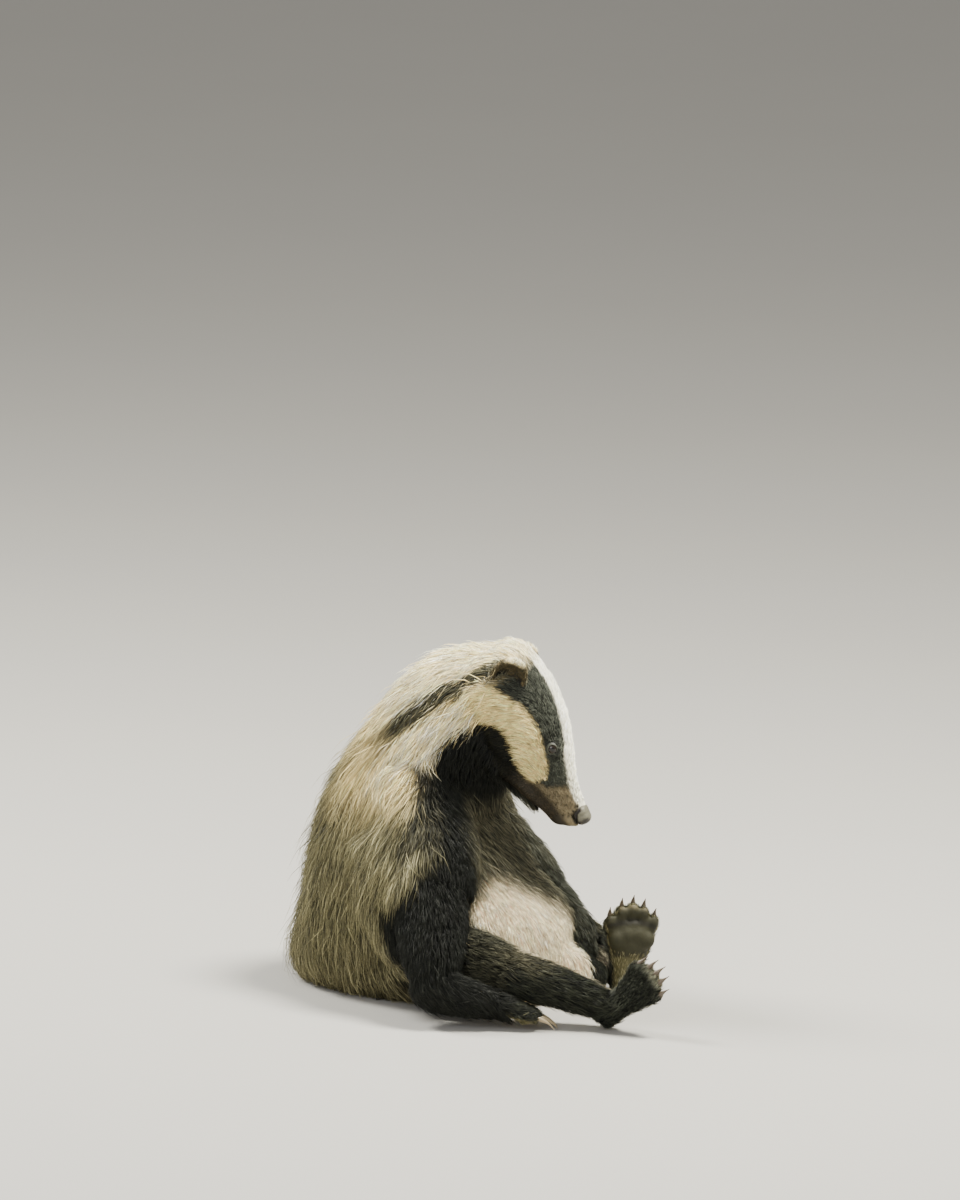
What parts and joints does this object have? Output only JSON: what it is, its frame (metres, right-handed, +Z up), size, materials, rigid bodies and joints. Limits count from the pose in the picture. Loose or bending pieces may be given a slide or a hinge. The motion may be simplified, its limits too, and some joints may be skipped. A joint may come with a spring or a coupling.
{
  "type": "european badger",
  "caption": "Life-size still model of a European badger sitting on its rump, hind legs out in front, head bowed.",
  "frame": {"origin": "on the floor under the hips, on the flat that the rump rests on", "axes": "+Z up, the chest and hind feet face -Y, the animal's left is +X"},
  "size_m": [0.2561, 0.4016, 0.2872],
  "materials": {
    "coat": "long grizzled hair",
    "dark_fur": "short black-brown fur",
    "face": "short white fur with a black stripe each side",
    "nose": "moist",
    "eye": "glossy"
  },
  "bodies": {
    "root": {"torso": "coat", "neck": "coat", "tail": "coat", "head": "face", "nose": "nose", "ear_left": "dark_fur", "ear_right": "dark_fur", "eye_left": "eye", "eye_right": "eye", "upper_arm_left": "dark_fur", "upper_arm_right": "dark_fur", "forearm_left": "dark_fur", "forearm_right": "dark_fur", "forepaw_left": "dark_fur", "forepaw_right": "dark_fur", "thigh_left": "dark_fur", "thigh_right": "dark_fur", "shank_left": "dark_fur", "shank_right": "dark_fur", "hindfoot_left": "dark_fur", "hindfoot_right": "dark_fur"}
  },
  "joints": []
}
